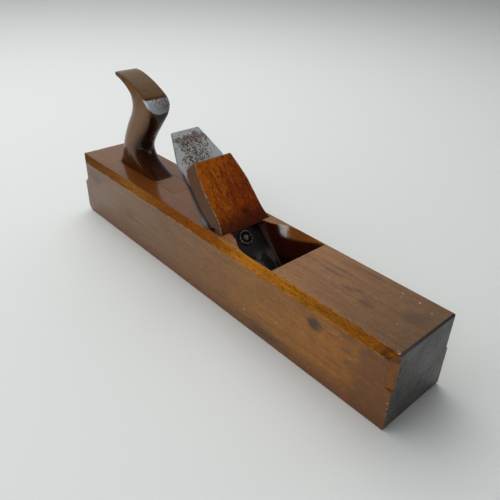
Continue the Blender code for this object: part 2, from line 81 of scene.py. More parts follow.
class Paint:
    """Builds one material. Each method adds a node and returns its output socket."""

    def __init__(self, name, origin=(0, 0, 0), pitch=0.0):
        self.material = bpy.data.materials.new(name)
        self.material.use_nodes = True
        self.tree = self.material.node_tree
        self.shader = self.tree.nodes["Principled BSDF"]
        coordinates = self.tree.nodes.new("ShaderNodeTexCoord")
        self.place = self.moved(coordinates.outputs["Object"], origin, (0, pitch, 0))
        self.toward = self.split(coordinates.outputs["Normal"])
        self.facing = [self.math("ABSOLUTE", part) for part in self.toward]

    def feed(self, socket, value):
        if isinstance(value, bpy.types.NodeSocket):
            self.tree.links.new(value, socket)
        elif isinstance(value, tuple) and socket.type == "RGBA":
            socket.default_value = (*value, 1.0)
        else:
            socket.default_value = value

    def node(self, kind, inputs, **settings):
        made = self.tree.nodes.new(kind)
        for key, value in settings.items():
            setattr(made, key, value)
        for key, value in inputs.items():
            self.feed(made.inputs[key], value)
        return made

    def moved(self, vector, location, rotation=(0, 0, 0), scale=(1, 1, 1)):
        """Coordinates in a frame with this place, turn and unit size."""
        inputs = {"Vector": vector, "Location": location, "Rotation": rotation, "Scale": scale}
        return self.node("ShaderNodeMapping", inputs, vector_type="TEXTURE").outputs[0]

    def split(self, vector):
        return list(self.node("ShaderNodeSeparateXYZ", {0: vector}).outputs)

    def math(self, operation, a, b=0.0, clamp=False):
        return self.node("ShaderNodeMath", {0: a, 1: b}, operation=operation, use_clamp=clamp).outputs[0]

    def times(self, a, b):
        return self.math("MULTIPLY", a, b)

    def plus(self, a, b):
        return self.math("ADD", a, b)

    def inverse(self, a):
        return self.math("SUBTRACT", 1.0, a, clamp=True)

    def most(self, *values):
        result = values[0]
        for value in values[1:]:
            result = self.math("MAXIMUM", result, value)
        return result

    def band(self, value, low, high, to_low=0.0, to_high=1.0):
        """Smoothly from to_low at low to to_high at high."""
        inputs = {"Value": value, "From Min": low, "From Max": high, "To Min": to_low, "To Max": to_high}
        return self.node("ShaderNodeMapRange", inputs, interpolation_type="SMOOTHSTEP").outputs[0]

    def color(self, factor, a, b):
        """From colour a, where the factor is 0, to colour b, where it is 1."""
        return self.node("ShaderNodeMix", {0: factor, 6: a, 7: b}, data_type="RGBA").outputs[2]

    def cover(self, tone, color, mask, strength):
        """Lay a colour over a tone, as strongly as the mask says."""
        return self.color(self.times(mask, strength), tone, color)

    def veil(self, tone, color, pattern, low, high, strength):
        """Lay a colour over a tone as a pattern passes from low to high."""
        return self.color(self.band(pattern, low, high, 0.0, strength), tone, color)

    def ramp(self, value, stops):
        """Colours at given values, smoothly blended between them."""
        low, high = stops[0][0], stops[-1][0]
        limits = {"Value": value, "From Min": low, "From Max": high}
        share = self.node("ShaderNodeMapRange", limits).outputs[0]
        made = self.node("ShaderNodeValToRGB", {0: share})
        elements = made.color_ramp.elements
        while len(elements) < len(stops):
            elements.new(0.5)
        for element, (at, color) in zip(elements, stops):
            element.position = (at - low) / (high - low)
            element.color = (*color, 1.0)
        return made.outputs[0]

    def line(self, value, at, half, soft=0.5):
        """1 where the value is within half of at."""
        off = self.math("ABSOLUTE", self.math("SUBTRACT", value, at))
        return self.band(off, half, half * (1.0 - soft))

    def noise(self, size, detail=4.0, rough=0.55, warp=0.0, shift=0.0):
        """Noise whose features measure about size (x, y, z) metres."""
        vector = self.moved(self.place, (shift, shift, shift), scale=size)
        inputs = {"Vector": vector, "Scale": 1.0, "Detail": detail, "Roughness": rough, "Distortion": warp}
        return self.node("ShaderNodeTexNoise", inputs).outputs[0]

    def cells(self, size):
        """Distance to the nearest of scattered points about size metres apart, in units of size."""
        vector = self.moved(self.place, (0, 0, 0), scale=size)
        return self.node("ShaderNodeTexVoronoi", {"Vector": vector, "Scale": 1.0}).outputs[0]

    def spot(self, center, radii, soft=0.5, turn=(0, 0, 0), ragged=0.0):
        """1 inside an ellipsoid, fading to 0 at its surface, with a ragged edge."""
        local = self.moved(self.place, center, turn, radii)
        reach = self.node("ShaderNodeVectorMath", {0: local}, operation="LENGTH").outputs["Value"]
        if ragged:
            wobble = self.noise(tuple(r * 0.5 for r in radii), 3.0)
            reach = self.plus(reach, self.times(self.math("SUBTRACT", wobble, 0.5), ragged))
        return self.band(reach, 1.0, 1.0 - soft)

    def finish(self, color, roughness, height=None, depth=0.0005, metallic=0.0, ior=1.45):
        self.feed(self.shader.inputs["Base Color"], color)
        self.feed(self.shader.inputs["Roughness"], roughness)
        self.feed(self.shader.inputs["Metallic"], metallic)
        self.feed(self.shader.inputs["IOR"], ior)
        if height:
            bump = self.node("ShaderNodeBump", {"Height": height, "Distance": depth, "Strength": 1.0})
            self.feed(self.shader.inputs["Normal"], bump.outputs[0])
        return self.material


# Woods. Colours are linear red, green and blue

RAW = (0.42, 0.27, 0.15)
SHARP = math.radians(15)        # arrises steeper than this aren't smoothed over

# Along the stock, from heel to toe: the side, the top and the long chamfer
SIDE_TONES = ((-0.216, (0.190, 0.093, 0.036)),
              (-0.060, (0.225, 0.108, 0.034)),
              (0.030, (0.280, 0.116, 0.020)),
              (0.090, (0.350, 0.138, 0.010)),
              (0.160, (0.420, 0.146, 0.003)),
              (0.195, (0.200, 0.064, 0.003)),
              (0.216, (0.180, 0.058, 0.004)))
TOP_TONES = ((-0.216, (0.170, 0.055, 0.008)),
             (-0.050, (0.170, 0.042, 0.004)),
             (0.060, (0.270, 0.105, 0.022)),
             (0.110, (0.310, 0.135, 0.038)),
             (0.160, (0.230, 0.098, 0.028)),
             (0.216, (0.120, 0.056, 0.014)))
CHAMFER_TONES = ((-0.216, (0.150, 0.055, 0.008)),
                 (-0.155, (0.240, 0.090, 0.012)),
                 (-0.110, (0.360, 0.145, 0.020)),
                 (-0.060, (0.270, 0.075, 0.005)),
                 (0.020, (0.310, 0.080, 0.003)),
                 (0.065, (0.580, 0.215, 0.012)),
                 (0.140, (0.490, 0.175, 0.004)),
                 (0.195, (0.340, 0.100, 0.002)),
                 (0.214, (0.090, 0.028, 0.004)))

# Places on the stock
CHAMFER_FOOT = TOP - CHAMFER_DOWN
SEAM = TOP - 0.0088             # dirt under the long chamfer
RUBBED_EDGE = TOP - 0.0084
SEAM_HALF = 0.0011
MORTISE_X = -0.1190
MORTISE_HALF_LENGTH = 0.0538
MORTISE_HALF_WIDTH = 0.0125
GLUE_LINE = 0.0008
KNOT = (0.1455, SIDE, 0.0510)
KNOT_EYE = (0.1500, SIDE, 0.0500)
RING_CENTER = (0.0, -0.030, 0.190)

# Marks on the stock: centre, radii and, for streaks, turn
STREAKS = (((0.0770, SIDE, 0.0120), (0.0230, 0.002, 0.0014), (0.0, -0.21, 0.0)),
           ((0.1428, SIDE, 0.0362), (0.0035, 0.002, 0.0009), (0.0, 0.80, 0.0)),
           ((0.1030, SIDE, 0.0065), (0.0300, 0.002, 0.0011), (0.0, 0.05, 0.0)),
           ((-0.1100, SIDE, 0.0300), (0.0500, 0.002, 0.0010), (0.0, 0.03, 0.0)),
           ((0.1835, -0.0320, TOP), (0.0060, 0.0014, 0.002), (0.0, 0.0, 0.15)),
           ((0.1925, -0.0325, TOP), (0.0035, 0.0010, 0.002), (0.0, 0.0, 0.0)),
           ((0.2065, -0.0325, TOP - 0.002), (0.0040, 0.0030, 0.004), (0.0, 0.0, 0.4)),
           ((0.1290, 0.0120, TOP), (0.0260, 0.0011, 0.002), (0.0, 0.0, 0.03)),
           ((0.1480, 0.0250, TOP), (0.0300, 0.0010, 0.002), (0.0, 0.0, -0.02)))
STAINS = (((0.1475, -0.0028, TOP), (0.0080, 0.0036, 0.004)),
          ((0.1680, -0.0080, TOP), (0.0105, 0.0042, 0.004)),
          ((0.1550, 0.0010, TOP), (0.0070, 0.0025, 0.004)),
          ((0.1250, 0.0050, TOP), (0.0160, 0.0030, 0.004)),
          ((0.2010, 0.0050, TOP), (0.0140, 0.0120, 0.004)),
          ((0.0920, SIDE, 0.0080), (0.0300, 0.004, 0.0070)),
          ((-0.1900, SIDE, 0.0500), (0.0200, 0.004, 0.0100)),
          ((-0.0950, 0.0050, TOP), (0.0330, 0.0180, 0.004)))
# Pale specks: centre and radius
SPECKS = (((0.0677, SIDE, 0.0180), 0.0009),
          ((0.1066, SIDE, 0.0275), 0.0007),
          ((0.1926, 0.0231, TOP), 0.0008),
          ((0.1776, 0.0239, TOP), 0.0006),
          ((0.1795, 0.0186, TOP), 0.0005),
          ((0.1958, -0.0094, TOP), 0.0005),
          ((0.2050, 0.0190, TOP), 0.0005),
          ((0.0780, 0.0290, TOP - 0.0050), 0.0007),
          ((0.2135, -0.0330, 0.0318), 0.0010),
          ((0.2150, SIDE, 0.0270), 0.0007),
          ((0.2156, SIDE, 0.0220), 0.0006),
          ((0.2158, SIDE, 0.0170), 0.0005))
# Pits in the toe's end grain: y and z, then half width and half height
PIT_DEPTH = 0.002
PITS = ((-0.0262, 0.0300, 0.0016, 0.0060),
        (-0.0240, 0.0200, 0.0012, 0.0040),
        (-0.0210, 0.0360, 0.0020, 0.0015),
        (0.0040, 0.0500, 0.0026, 0.0026),
        (-0.0060, 0.0160, 0.0060, 0.0030),
        (0.0110, 0.0300, 0.0030, 0.0020),
        (-0.0263, 0.0603, 0.0028, 0.0020),
        (-0.0047, 0.0506, 0.0020, 0.0014),
        (-0.0300, 0.0560, 0.0022, 0.0040),
        (-0.0310, 0.0480, 0.0016, 0.0022),
        (0.0010, 0.0230, 0.0040, 0.0024),
        (0.0197, 0.0386, 0.0014, 0.0026),
        (-0.0050, 0.0600, 0.0120, 0.0007),
        (-0.0080, 0.0570, 0.0080, 0.0006))


def beech(wood):
    """Broad streaks, fine fibres and short dark flecks, all along the grain, which is local X."""
    broad = wood.noise((0.110, 0.0060, 0.0060), 3.0, warp=0.4)
    fibre = wood.noise((0.026, 0.0008, 0.0008), 4.0)
    fleck = wood.band(wood.noise((0.0034, 0.0006, 0.0006), 2.0, shift=0.7), 0.60, 0.70)
    return broad, fibre, fleck


class StockPaint(Paint):
    """The stock's material, with the patterns and masks that its layers share."""

    def __init__(self):
        super().__init__("stock_varnished_beech")
        self.x, self.y, self.z = self.split(self.place)
        self.aside = self.math("ABSOLUTE", self.y)
        self.broad, self.fibre, self.fleck = beech(self)
        self.cloud = self.noise((0.050, 0.020, 0.020), 4.0, shift=0.31)
        self.mottle = self.noise((0.012, 0.006, 0.006), 3.0, shift=1.7)
        self.grain = self.noise((0.0030, 0.0011, 0.0011), 3.0, shift=6.1)
        self.end = self.band(self.facing[0], 0.75, 0.9)
        self.lid = self.band(self.facing[2], 0.97, 0.99)
        self.wall = self.band(self.facing[1], 0.97, 0.99)


def stock_ground(wood):
    """The varnish's own colour on the side, the top, the chamfers and the sole, with painted shade low on
    the side.
    """
    along = wood.plus(wood.x, wood.band(wood.mottle, 0.3, 0.7, -0.012, 0.012))
    side = wood.ramp(along, SIDE_TONES)
    # Painted shade: the side darkens towards the sole, next to the floor
    side = wood.veil(side, (0.170, 0.050, 0.007), wood.z, 0.020, 0.001, 0.75)
    top = wood.ramp(along, TOP_TONES)
    chamfer = wood.ramp(along, CHAMFER_TONES)
    upright = wood.band(wood.z, CHAMFER_FOOT + 0.001, CHAMFER_FOOT - 0.001)
    chamfer = wood.color(upright, chamfer, (0.270, 0.085, 0.002))
    tone = wood.color(wood.wall, chamfer, side)
    tone = wood.color(wood.lid, tone, top)
    sole = wood.times(wood.lid, wood.band(wood.z, 0.002, 0.001))
    plain = wood.color(wood.broad, (0.260, 0.120, 0.045), (0.360, 0.190, 0.080))
    return wood.color(sole, tone, plain)


def stock_figure(wood, tone):
    """Streaks, fibres, flecks and dust over the ground."""
    tone = wood.veil(tone, (0.110, 0.036, 0.008), wood.broad, 0.40, 0.75, 0.40)
    tone = wood.veil(tone, (0.110, 0.040, 0.010), wood.cloud, 0.50, 0.75, 0.40)
    tone = wood.veil(tone, (0.070, 0.025, 0.008), wood.fibre, 0.48, 0.72, 0.52)
    tone = wood.cover(tone, (0.055, 0.018, 0.006), wood.fleck, 0.45)
    tone = wood.veil(tone, (0.075, 0.028, 0.007), wood.grain, 0.42, 0.68, 0.36)
    tone = wood.veil(tone, (0.480, 0.240, 0.080), wood.grain, 0.44, 0.32, 0.10)
    olive = wood.times(wood.band(wood.mottle, 0.52, 0.72, 0.0, 0.42), wood.wall)
    tone = wood.color(olive, tone, (0.120, 0.078, 0.024))
    dust = wood.band(wood.noise((0.0013, 0.0010, 0.0010), 2.0, shift=7.3), 0.62, 0.70)
    return wood.cover(tone, (0.420, 0.260, 0.130), dust, 0.16)


def stock_marks(wood, tone, knot):
    """The knot, streaks, stains and specks."""
    eye = wood.spot(KNOT_EYE, (0.0035, 0.004, 0.0032), 0.8, ragged=0.4)
    tone = wood.cover(tone, (0.042, 0.018, 0.008), knot, 0.88)
    tone = wood.cover(tone, (0.190, 0.085, 0.030), eye, 0.5)
    for center, radii, turn in STREAKS:
        streak = wood.spot(center, radii, 0.8, turn, ragged=0.5)
        tone = wood.cover(tone, (0.045, 0.016, 0.006), streak, 0.62)
    for center, radii in STAINS:
        stain = wood.spot(center, radii, 0.8, ragged=0.9)
        tone = wood.cover(tone, (0.070, 0.032, 0.017), stain, 0.68)
    for center, radius in SPECKS:
        speck = wood.spot(center, (radius,) * 3, 0.5, ragged=0.4)
        tone = wood.color(speck, tone, (0.62, 0.50, 0.38))
    return tone


def joint_line(wood, x, y):
    """1 in a hair's breadth round the mortise, where the glue line has darkened."""
    across = wood.math("SUBTRACT", wood.math("ABSOLUTE", y), MORTISE_HALF_WIDTH)
    off = wood.math("ABSOLUTE", wood.plus(x, -MORTISE_X))
    along = wood.math("SUBTRACT", off, MORTISE_HALF_LENGTH)
    return wood.times(wood.line(wood.math("MAXIMUM", across, along), 0.0, GLUE_LINE, 0.6), 0.85)


def stock_edges(wood, tone):
    """The dirt and rubbed edge under the long chamfer, dashes on the chamfers, and the glue line."""
    nick = wood.noise((0.010, 0.004, 0.004), 4.0, shift=2.3)
    seam = wood.times(wood.line(wood.z, SEAM, SEAM_HALF), wood.band(nick, 0.40, 0.60, 0.15, 0.65))
    tone = wood.color(wood.times(seam, wood.wall), tone, (0.110, 0.042, 0.012))
    rub = wood.times(wood.line(wood.z, RUBBED_EDGE, SEAM_HALF), wood.band(nick, 0.50, 0.60, 0.0, 0.55))
    tone = wood.color(rub, tone, (0.430, 0.210, 0.070))
    dashes = wood.times(wood.inverse(wood.most(wood.end, wood.lid, wood.wall)),
                        wood.band(wood.noise((0.0035, 0.0010, 0.0010), 3.0, shift=3.1), 0.55, 0.64))
    tone = wood.cover(tone, (0.060, 0.020, 0.003), dashes, 0.62)
    return wood.color(joint_line(wood, wood.x, wood.y), tone, (0.020, 0.007, 0.003))


def stock_throat_shade(wood, tone):
    """Painted shade: nearly black inside the throat and the mortise, below a brink where the scooped cheeks
    keep a warmer wood tone, and darker still on walls facing the heel.
    """
    inside = wood.times(wood.band(wood.aside, 0.0322, 0.0314),
                        wood.band(wood.math("ABSOLUTE", wood.x), 0.20, 0.19))
    inside = wood.times(inside, wood.band(wood.z, TOP - 0.0002, TOP - 0.0008))
    inside = wood.times(inside, wood.band(wood.z, 0.0003, 0.0010))
    brink = wood.plus(wood.band(wood.x, 0.0580, 0.0430, 0.0, 0.0100),
                      wood.band(wood.x, 0.0620, 0.0950, 0.0605, 0.0690))
    above = wood.math("SUBTRACT", wood.z, brink)
    # Painted shade below the brink, the warmer wood tone above it
    throat_shade_tone = wood.color(wood.band(above, -0.0012, 0.0022), (0.034, 0.005, 0.002), (0.260, 0.085, 0.014))
    # Painted shade: walls facing the heel are darker still
    throat_shade_tone = wood.color(wood.band(wood.toward[0], -0.3, -0.6), throat_shade_tone, (0.016, 0.003, 0.001))
    throat_shade_tone = wood.veil(throat_shade_tone, (0.030, 0.006, 0.002), wood.fibre, 0.45, 0.75, 0.5)
    return wood.color(inside, tone, throat_shade_tone)


def end_pits(wood):
    pits = wood.band(wood.noise((0.004, 0.0020, 0.0009), 3.0, shift=4.2), 0.60, 0.66)
    for y, z, half_width, half_height in PITS:
        pit = wood.spot((TOE, y, z), (PIT_DEPTH, half_width, half_height), 0.5, ragged=0.9)
        pits = wood.most(pits, pit)
    return pits


def end_grain(wood):
    """Nearly black with dirt, with faint rings. Returns the colour and the pits."""
    rings_in = {"Vector": wood.moved(wood.place, RING_CENTER), "Scale": 260.0, "Distortion": 3.0,
                "Detail": 2.0, "Detail Scale": 0.6}
    rings = wood.node("ShaderNodeTexWave", rings_in, wave_type="RINGS", rings_direction="X").outputs[1]
    grime = wood.noise((0.01, 0.005, 0.005), 5.0, shift=0.9)
    dark = wood.color(wood.band(grime, 0.30, 0.70), (0.010, 0.010, 0.009), (0.075, 0.074, 0.066))
    dark = wood.cover(dark, (0.070, 0.064, 0.054), rings, 0.35)
    pits = end_pits(wood)
    dark = wood.color(pits, dark, (0.004, 0.004, 0.004))
    heelward = wood.band(wood.x, 0.0, -0.1)
    return wood.cover(dark, (0.090, 0.045, 0.020), heelward, 0.6), pits


def end_bevel(wood):
    """1 on the dirty bevel along the top of both ends."""
    bevel = wood.times(wood.band(wood.facing[0], 0.30, 0.45),
                       wood.band(wood.z, TOP - 0.0024, TOP - 0.0014))
    return wood.times(bevel, wood.band(wood.math("ABSOLUTE", wood.x), TOE - 0.0040, TOE - 0.0030))


def stock_gloss(wood, bevel):
    """Roughness: duller towards the toe and in patches, glossier on the top behind the irons."""
    dull = wood.plus(wood.band(wood.cloud, 0.30, 0.70, 0.17, 0.27),
                     wood.band(wood.x, 0.02, 0.16, 0.0, 0.08))
    polished = wood.times(wood.lid, wood.band(wood.x, -0.02, -0.07))
    dull = wood.times(dull, wood.band(polished, 0.0, 1.0, 1.0, 0.45))
    rough = wood.plus(dull, wood.times(wood.end, 0.08))
    rough = wood.plus(rough, wood.times(bevel, 0.4))
    return rough


def stock_relief(wood, knot, pits, flat):
    dent = wood.band(wood.cells((0.026, 0.018, 0.018)), 0.16, 0.02)
    height = wood.plus(wood.times(wood.fibre, 0.22), wood.times(wood.fleck, -0.20))
    sunk = wood.plus(wood.times(dent, -0.8), wood.times(wood.times(pits, wood.end), -1.2))
    height = wood.plus(height, sunk)
    height = wood.plus(height, wood.times(knot, -0.25))
    height = wood.plus(height, wood.times(wood.mottle, 0.5))
    return wood.times(height, wood.band(flat, 0.0, 1.0, 0.35, 1.0))


def stock_wood():
    wood = StockPaint()
    tone = stock_figure(wood, stock_ground(wood))
    knot = wood.spot(KNOT, (0.0105, 0.006, 0.0082), 0.7, ragged=0.5)
    tone = stock_marks(wood, tone, knot)
    tone = stock_edges(wood, tone)
    tone = stock_throat_shade(wood, tone)
    dark, pits = end_grain(wood)
    tone = wood.color(wood.end, tone, dark)
    bevel = end_bevel(wood)
    tone = wood.color(bevel, tone, (0.010, 0.006, 0.004))
    rough = stock_gloss(wood, bevel)
    flat = wood.most(wood.end, wood.lid, wood.wall)
    rough = wood.times(rough, wood.band(flat, 0.0, 1.0, 0.5, 1.0))
    return wood.finish(tone, rough, stock_relief(wood, knot, pits, flat), 0.00012)


CREASE_Z = 0.1530
NOSE_TOP = 0.1515
NOSE_DOWN = 0.0140
NOSE_HALF = 0.0166


def tote_wood():
    wood = Paint("tote_varnished_beech", (0, 0, 0), math.radians(-58))
    x, y, z = wood.split(wood.node("ShaderNodeTexCoord", {}).outputs["Object"])
    broad, fibre, fleck = beech(wood)
    blotch = wood.noise((0.016, 0.010, 0.010), 4.0, shift=0.6)
    grit = wood.band(wood.noise((0.0011, 0.0011, 0.0011), 3.0), 0.58, 0.68)
    tone = wood.color(broad, (0.100, 0.038, 0.004), (0.200, 0.084, 0.012))
    tone = wood.veil(tone, (0.050, 0.018, 0.006), fibre, 0.45, 0.75, 0.45)
    tone = wood.cover(tone, (0.040, 0.014, 0.005), fleck, 0.30)
    # Painted shade: near black down the front of the grip and under the horn, on faces turned to the toe;
    # darker red-brown at the foot, partly the wood and partly painted shade where the grip meets the stock
    reach = wood.plus(wood.toward[0], wood.band(z, 0.1360, 0.0880, 0.0, 0.35))
    grip_front_shade = wood.times(wood.band(reach, 0.30, 0.72), wood.band(z, 0.1420, 0.1340))
    tone = wood.cover(tone, (0.009, 0.002, 0.001), grip_front_shade, 0.95)
    foot = wood.band(wood.plus(z, wood.band(blotch, 0.3, 0.7, -0.005, 0.005)), 0.098, 0.084)
    tone = wood.cover(tone, (0.040, 0.007, 0.002), foot, 0.85)
    runout = wood.times(wood.band(z, 0.0860, 0.0760), wood.band(x, -0.1050, -0.0900))
    runout = wood.times(runout, wood.band(wood.toward[2], 0.25, 0.55))
    tone = wood.color(runout, tone, (0.110, 0.036, 0.008))
    horn = wood.times(wood.band(wood.toward[2], 0.60, 0.85), wood.band(z, 0.140, 0.150))
    horn = wood.times(horn, 0.6)
    tone = wood.color(horn, tone, wood.color(fibre, (0.085, 0.046, 0.018), (0.125, 0.070, 0.028)))
    tone = wood.veil(tone, (0.060, 0.026, 0.008), blotch, 0.50, 0.75, 0.45)
    # Painted glints: pale specks in the grit, only on faces turned to the sides
    grit_glints = wood.times(grit, wood.band(wood.facing[1], 0.5, 0.9, 0.0, 0.35))
    tone = wood.color(grit_glints, tone, (0.360, 0.220, 0.110))
    # Painted shade: a dark line in the crease over the nose, also sunk a little by the bump
    shaded_crease = wood.times(wood.line(z, CREASE_Z, 0.0009, 0.9), wood.band(wood.toward[0], 0.15, 0.3))
    shaded_crease_tone = wood.times(shaded_crease, wood.band(y, 0.012, -0.012, 0.25, 0.85))
    tone = wood.color(shaded_crease_tone, tone, (0.020, 0.008, 0.004))
    # Painted highlight: a pale, bluish-grey patch on the nose, over varnish rubbed through
    nose, nose_highlight_tone = tote_nose_highlight(wood, x, y, z, blotch)
    tone = wood.color(nose, tone, nose_highlight_tone)
    # The let-in tongue in front of the grip matches the top of the stock
    tongue = wood.times(wood.band(wood.toward[2], 0.95, 0.99), wood.band(z, TOP + 0.0020, TOP + 0.0004))
    tone = wood.color(tongue, tone, wood.color(broad, (0.120, 0.038, 0.005), (0.175, 0.056, 0.008)))
    rough = wood.plus(wood.band(blotch, 0.3, 0.7, 0.12, 0.20), wood.times(grit, 0.10))
    rough = wood.plus(rough, wood.times(nose, 0.25))
    rough = wood.times(rough, wood.band(grip_front_shade, 0.0, 1.0, 1.0, 0.55))
    height = wood.plus(wood.times(fibre, 0.25), wood.plus(wood.times(grit, -0.35), wood.times(blotch, 0.8)))
    height = wood.plus(height, wood.times(shaded_crease, -0.8))
    return wood.finish(tone, rough, height, 0.00018, ior=1.36)


def tote_nose_highlight(wood, x, y, z, blotch):
    """The nose: a speckled, bluish-grey painted highlight for a window's reflection, over a patch rubbed
    through. Returns its mask and its colour.
    """
    aside = wood.math("SUBTRACT", y, 0.002)
    near = wood.math("MINIMUM", aside, 0.0)
    aside = wood.plus(near, wood.times(wood.math("MAXIMUM", aside, 0.0), 0.45))
    reach = wood.math("POWER", wood.times(aside, 1 / NOSE_HALF), 2.0)
    down = wood.times(wood.math("SUBTRACT", NOSE_TOP, z), 1 / NOSE_DOWN)
    reach = wood.plus(reach, wood.math("POWER", down, 2.0))
    reach = wood.plus(reach, wood.band(blotch, 0.3, 0.7, -0.06, 0.06))
    nose = wood.times(wood.band(reach, 1.0, 0.86), wood.band(z, 0.1524, 0.1514))
    speckle = wood.band(wood.noise((0.0013, 0.0013, 0.0013), 3.0, shift=5.0), 0.42, 0.60)
    slant = wood.plus(y, wood.times(wood.math("SUBTRACT", z, 0.1450), 1.2))
    speckle = wood.times(speckle, wood.band(slant, -0.010, 0.010, 0.15, 1.0))
    nose_highlight_tone = wood.color(wood.band(y, -0.010, 0.008), (0.560, 0.600, 0.660), (0.360, 0.370, 0.385))
    nose_highlight_tone = wood.color(speckle, nose_highlight_tone, (0.060, 0.030, 0.020))
    corner = wood.band(wood.plus(x, wood.band(z, 0.1440, 0.1530, 0.0, 0.0078)), -0.1030, -0.1024)
    # Strongest on faces turned to the toe and round the nose's corner, where the painted highlight lies
    # over rubbed varnish
    rubbed = wood.most(wood.band(wood.toward[0], 0.22, 0.42, 0.0, 0.95), corner)
    return wood.times(nose, rubbed), nose_highlight_tone


def wedge_wood():
    wood = Paint("wedge_varnished_beech", tuple(WEDGE_FOOT), ABUTMENT_PITCH)
    x, y = wood.split(wood.place)[:2]
    broad = wood.noise((0.060, 0.0050, 0.0050), 3.0, warp=0.8)
    fibre = wood.noise((0.020, 0.0007, 0.0007), 4.0)
    fleck = wood.band(wood.noise((0.0050, 0.0012, 0.0012), 3.0, shift=0.7), 0.46, 0.64)
    slant = wood.plus(y, wood.times(x, 0.55))
    glow = wood.band(wood.plus(slant, wood.band(broad, 0.3, 0.7, -0.010, 0.010)), -0.048, 0.004)
    tone = wood.color(glow, (0.560, 0.130, 0.002), (0.290, 0.034, 0.001))
    tone = wood.veil(tone, (0.110, 0.022, 0.003), broad, 0.48, 0.72, 0.50)
    tone = wood.veil(tone, (0.070, 0.014, 0.002), fibre, 0.50, 0.75, 0.40)
    figure = wood.noise((0.0036, 0.0010, 0.0010), 3.0, warp=0.6, shift=3.3)
    tone = wood.veil(tone, (0.640, 0.205, 0.010), figure, 0.54, 0.68, 0.45)
    tone = wood.veil(tone, (0.060, 0.012, 0.001), figure, 0.50, 0.34, 0.75)
    tone = wood.cover(tone, (0.060, 0.013, 0.002), fleck, 0.45)
    swirl = wood.spot((-0.0130, 0.0050, 0.0), (0.0075, 0.0050, 0.010), 0.8, (0, 0, 0.5), ragged=1.2)
    tone = wood.cover(tone, (0.030, 0.007, 0.002), swirl, 0.75)
    # Darker towards the foot; near black below the top of the stock: painted shade where the wedge goes
    # down into the throat
    foot = wood.band(x, -0.022, 0.000)
    tone = wood.cover(tone, (0.060, 0.007, 0.001), foot, 0.80)
    tone = wood.veil(tone, (0.026, 0.005, 0.002), x, -0.0010, 0.0030, 0.9)
    # The flanks are greyer brown: partly their own colour and partly a painted sheen
    flank = wood.times(wood.band(wood.facing[1], 0.40, 0.65), 0.92)
    tone = wood.color(flank, tone, wood.color(fibre, (0.075, 0.040, 0.024), (0.135, 0.078, 0.048)))
    # Pale on the front arrises where the noise says worn: partly bare wood and partly a painted highlight
    arris = wood.times(wood.band(wood.facing[1], 0.12, 0.22), wood.band(wood.facing[1], 0.88, 0.80))
    arris = wood.times(arris, wood.times(wood.band(wood.toward[0], 0.15, 0.30), wood.band(x, 0.0, -0.004)))
    worn = wood.band(wood.noise((0.0040, 0.0040, 0.0040), 3.0, shift=2.9), 0.36, 0.56)
    tone = wood.color(wood.times(arris, worn), tone, (0.620, 0.470, 0.340))
    head = wood.times(wood.band(wood.toward[0], 0.48, 0.36), wood.band(wood.toward[2], 0.50, 0.65))
    head = wood.times(head, wood.band(x, -0.050, -0.056))
    tone = wood.cover(tone, (0.040, 0.018, 0.008), head, 0.8)
    rough = wood.band(broad, 0.3, 0.7, 0.15, 0.24)
    height = wood.plus(wood.times(fibre, 0.5), wood.times(fleck, -0.5))
    return wood.finish(tone, rough, height, 0.00008, ior=1.38)


def raw_wood():
    """Pale wood where an arris has been knocked bare."""
    wood = Paint("bare_beech")
    grime = wood.noise((0.0016, 0.0008, 0.0008), 3.0)
    tone = wood.color(wood.band(grime, 0.38, 0.62), (0.100, 0.045, 0.018), RAW)
    return wood.finish(tone, 0.55, grime, 0.0002)


# Metals

